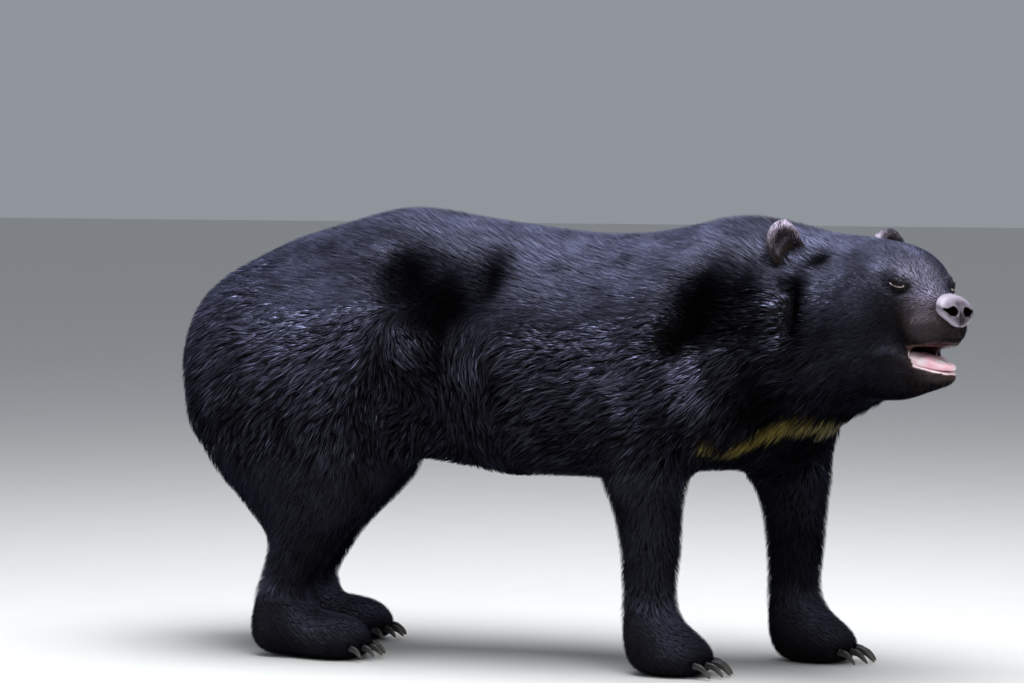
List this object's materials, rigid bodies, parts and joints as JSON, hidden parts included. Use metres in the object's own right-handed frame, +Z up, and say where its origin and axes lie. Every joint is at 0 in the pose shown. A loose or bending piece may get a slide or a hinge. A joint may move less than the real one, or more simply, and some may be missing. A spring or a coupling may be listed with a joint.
{
  "type": "asiatic black bear",
  "caption": "Standing black bear, head turned to its right with the mouth open; shaggy coat and pale chest crescent.",
  "frame": {"origin": "on the floor, below the middle of the model's bounding box", "axes": "+X along the body towards the head, +Y to the animal's left, +Z up"},
  "size_m": [1.6186, 0.5094, 0.8388],
  "materials": {
    "coat": "glossy black hair, cream crescent on the chest",
    "ear_coat": "short dull black-brown hair",
    "claw": "smooth dark horn",
    "eye": "wet, polished dark brown",
    "nose_skin": "moist pebbled grey skin",
    "tongue": "wet pink skin"
  },
  "bodies": {
    "root": {"fore_left_claw_1": "claw", "fore_left_claw_2": "claw", "fore_left_claw_3": "claw", "fore_left_claw_4": "claw", "fore_left_claw_5": "claw", "fore_left_lower_leg": "coat", "fore_left_paw": "coat", "fore_left_upper_leg": "coat", "fore_right_claw_1": "claw", "fore_right_claw_2": "claw", "fore_right_claw_3": "claw", "fore_right_claw_4": "claw", "fore_right_claw_5": "claw", "fore_right_lower_leg": "coat", "fore_right_paw": "coat", "fore_right_upper_leg": "coat", "head": "coat", "hind_left_claw_1": "claw", "hind_left_claw_2": "claw", "hind_left_claw_3": "claw", "hind_left_claw_4": "claw", "hind_left_claw_5": "claw", "hind_left_lower_leg": "coat", "hind_left_paw": "coat", "hind_left_upper_leg": "coat", "hind_right_claw_1": "claw", "hind_right_claw_2": "claw", "hind_right_claw_3": "claw", "hind_right_claw_4": "claw", "hind_right_claw_5": "claw", "hind_right_lower_leg": "coat", "hind_right_paw": "coat", "hind_right_upper_leg": "coat", "left_ear": "ear_coat", "left_eye": "eye", "lower_jaw": "coat", "neck": "coat", "nose_pad": "nose_skin", "right_ear": "ear_coat", "right_eye": "eye", "tail": "coat", "tongue": "tongue", "trunk": "coat"}
  },
  "joints": []
}
